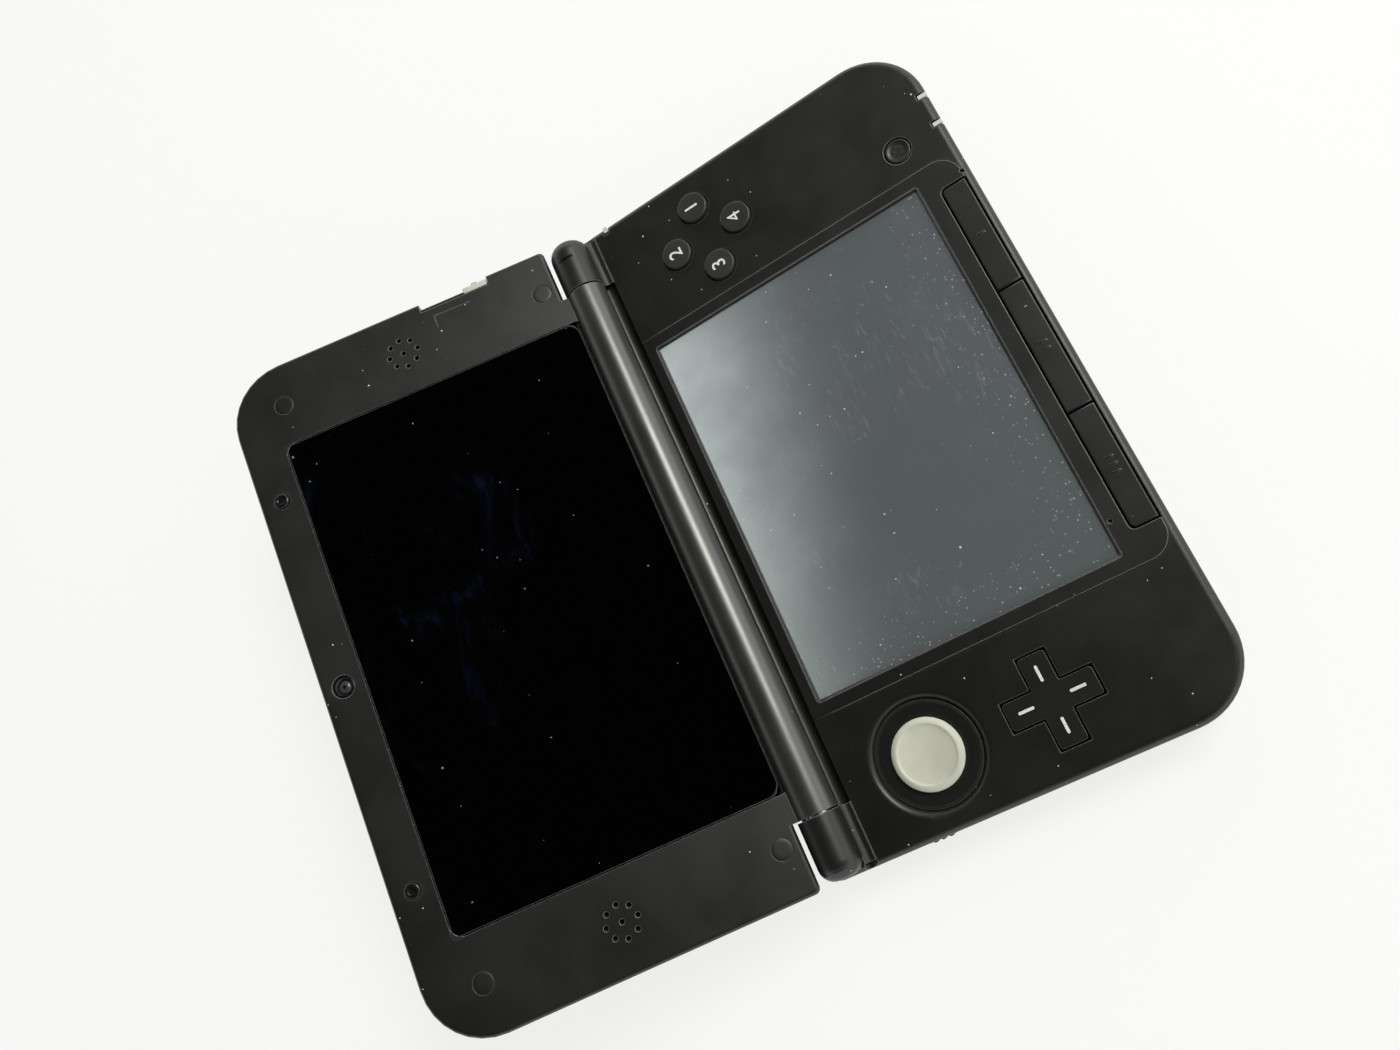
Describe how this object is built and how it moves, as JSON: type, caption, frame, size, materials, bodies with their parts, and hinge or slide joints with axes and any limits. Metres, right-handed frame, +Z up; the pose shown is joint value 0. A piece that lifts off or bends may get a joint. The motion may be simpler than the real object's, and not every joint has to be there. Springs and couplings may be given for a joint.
{
  "type": "handheld game console",
  "caption": "Clamshell handheld game console laid open, with two screens, circle pad, direction pad, face buttons, shoulder buttons, side sliders, sockets and a pull-out stylus.",
  "frame": {"origin": "centre of the bounding box's underside, on the table, under the open console", "axes": "+X to the player's right along the hinge, +Y from the player's edge of the base towards the lid's far edge, +Z up from the table"},
  "size_m": [0.1564, 0.1704, 0.0453],
  "materials": {
    "shell_black": "fine matte moulded plastic",
    "barrel_black": "satin moulded plastic",
    "key_black": "matte moulded plastic",
    "button_dark": "satin plastic with a printed number",
    "pad_grey": "soft-touch light grey plastic",
    "slider_grey": "light grey plastic",
    "light_clear": "milky clear plastic",
    "window_black": "black-backed glossy window",
    "touch_film": "slate grey glossy film, display off",
    "display_glass": "display glass",
    "rubber_black": "soft rubber",
    "tin_plate": "thin pressed metal",
    "steel": "turned steel",
    "board_green": "printed circuit board",
    "cable_amber": "flexible printed cable",
    "battery_grey": "wrapped cell",
    "socket_black": "moulded socket",
    "camera_black": "camera housing and lens"
  },
  "bodies": {
    "base": {"base_top_cover": "shell_black", "base_bottom_cover": "shell_black", "battery_cover": "shell_black", "battery": "battery_grey", "main_board": "board_green", "touch_panel": "touch_film", "lower_lcd": "display_glass", "lower_lcd_tray": "tin_plate", "circle_pad_ring": "key_black", "circle_pad_housing": "socket_black", "face_button_rubber": "rubber_black", "key_rubber": "rubber_black", "shoulder_pins": "steel", "light_pipes": "light_clear", "sd_socket": "tin_plate", "card_reader": "socket_black", "charging_socket": "socket_black", "infrared_window": "window_black", "headphone_jack": "socket_black", "rubber_feet": "rubber_black", "case_screws": "steel", "cover_screws": "steel", "hinge_pin": "steel", "hinge_bush": "steel", "base_ribbon": "cable_amber"},
    "lid": {"lid_outer_cover": "shell_black", "lid_inner_cover": "shell_black", "upper_window": "window_black", "upper_lcd": "display_glass", "upper_board": "board_green", "right_speaker": "socket_black", "left_speaker": "socket_black", "inner_camera": "camera_black", "outer_cameras": "camera_black", "camera_windows": "window_black", "lid_bumpers": "rubber_black", "screw_caps": "shell_black", "lid_screws": "steel", "lid_hinge_barrel": "barrel_black", "hinge_unit": "steel", "lid_ribbon": "cable_amber"},
    "pad_slider": {"circle_pad_slider": "slider_grey"},
    "circle_pad": {"circle_pad_cap": "pad_grey"},
    "direction_rubber": {"dpad_rubber": "rubber_black"},
    "direction_pad": {"dpad": "key_black"},
    "face_button_right": {"button_right": "button_dark"},
    "face_button_top": {"button_top": "button_dark"},
    "face_button_left": {"button_left": "button_dark"},
    "face_button_bottom": {"button_bottom": "button_dark"},
    "power_key": {"power_button": "key_black"},
    "start_key": {"start_key": "key_black"},
    "home_key": {"home_key": "key_black"},
    "select_key": {"select_key": "key_black"},
    "right_shoulder": {"right_shoulder_button": "key_black"},
    "left_shoulder": {"left_shoulder_button": "key_black"},
    "volume_knob": {"volume_slider": "key_black"},
    "wireless_knob": {"wireless_switch": "key_black"},
    "depth_knob": {"depth_slider": "slider_grey"},
    "card_door": {"sd_card_door": "shell_black"},
    "pen": {"stylus": "key_black"}
  },
  "joints": [
    {"name": "lid_hinge", "type": "hinge", "parent": "base", "child": "lid", "pos_m": [0, 0.00158, 0.0152], "axis": [1, 0, 0], "range_deg": [0, 160.7]},
    {"name": "pad_left_right", "type": "slide", "parent": "base", "child": "pad_slider", "axis": [1, 0, 0], "range_m": [-0.0021, 0.0021], "stiffness_N_per_m": 100},
    {"name": "pad_up_down", "type": "slide", "parent": "pad_slider", "child": "circle_pad", "axis": [0, 1, 0], "range_m": [-0.0021, 0.0021], "stiffness_N_per_m": 100},
    {"name": "direction_tilt_up_down", "type": "hinge", "parent": "base", "child": "direction_rubber", "pos_m": [-0.0625, -0.05002, 0.00911], "axis": [1, 0, 0], "range_deg": [-3, 3], "stiffness_Nm_per_rad": 0.2},
    {"name": "direction_tilt_left_right", "type": "hinge", "parent": "direction_rubber", "child": "direction_pad", "pos_m": [-0.0625, -0.05002, 0.00911], "axis": [0, 1, 0], "range_deg": [-3, 3], "stiffness_Nm_per_rad": 0.2},
    {"name": "press_right", "type": "slide", "parent": "base", "child": "face_button_right", "axis": [0, 0, -1], "range_m": [0, 0.0005], "stiffness_N_per_m": 300},
    {"name": "press_top", "type": "slide", "parent": "base", "child": "face_button_top", "axis": [0, 0, -1], "range_m": [0, 0.0005], "stiffness_N_per_m": 300},
    {"name": "press_left", "type": "slide", "parent": "base", "child": "face_button_left", "axis": [0, 0, -1], "range_m": [0, 0.0005], "stiffness_N_per_m": 300},
    {"name": "press_bottom", "type": "slide", "parent": "base", "child": "face_button_bottom", "axis": [0, 0, -1], "range_m": [0, 0.0005], "stiffness_N_per_m": 300},
    {"name": "press_power", "type": "slide", "parent": "base", "child": "power_key", "axis": [0, 0, -1], "range_m": [0, 0.0004], "stiffness_N_per_m": 300},
    {"name": "press_start", "type": "slide", "parent": "base", "child": "start_key", "axis": [0, 0, -1], "range_m": [0, 0.0004], "stiffness_N_per_m": 300},
    {"name": "press_home", "type": "slide", "parent": "base", "child": "home_key", "axis": [0, 0, -1], "range_m": [0, 0.0004], "stiffness_N_per_m": 300},
    {"name": "press_select", "type": "slide", "parent": "base", "child": "select_key", "axis": [0, 0, -1], "range_m": [0, 0.0004], "stiffness_N_per_m": 300},
    {"name": "right_shoulder_swing", "type": "hinge", "parent": "base", "child": "right_shoulder", "pos_m": [0.0574, 0.00108, 0.0058], "axis": [0, 0, -1], "range_deg": [0, 3], "stiffness_Nm_per_rad": 0.3},
    {"name": "left_shoulder_swing", "type": "hinge", "parent": "base", "child": "left_shoulder", "pos_m": [-0.0574, 0.00108, 0.0058], "axis": [0, 0, 1], "range_deg": [0, 3], "stiffness_Nm_per_rad": 0.3},
    {"name": "volume_slide", "type": "slide", "parent": "base", "child": "volume_knob", "axis": [0, 1, 0], "range_m": [-0.004, 0.004]},
    {"name": "wireless_slide", "type": "slide", "parent": "base", "child": "wireless_knob", "axis": [0, -1, 0], "range_m": [0, 0.003]},
    {"name": "depth_slide", "type": "slide", "parent": "lid", "child": "depth_knob", "axis": [0, 0.9438, 0.3305], "range_m": [0, 0.0108]},
    {"name": "card_door_swing", "type": "hinge", "parent": "base", "child": "card_door", "pos_m": [0.07745, -0.04542, 0.0033], "axis": [0, 1, 0], "range_deg": [0, 100]},
    {"name": "stylus_draw", "type": "slide", "parent": "base", "child": "pen", "axis": [1, 0, 0], "range_m": [0, 0.096]}
  ]
}
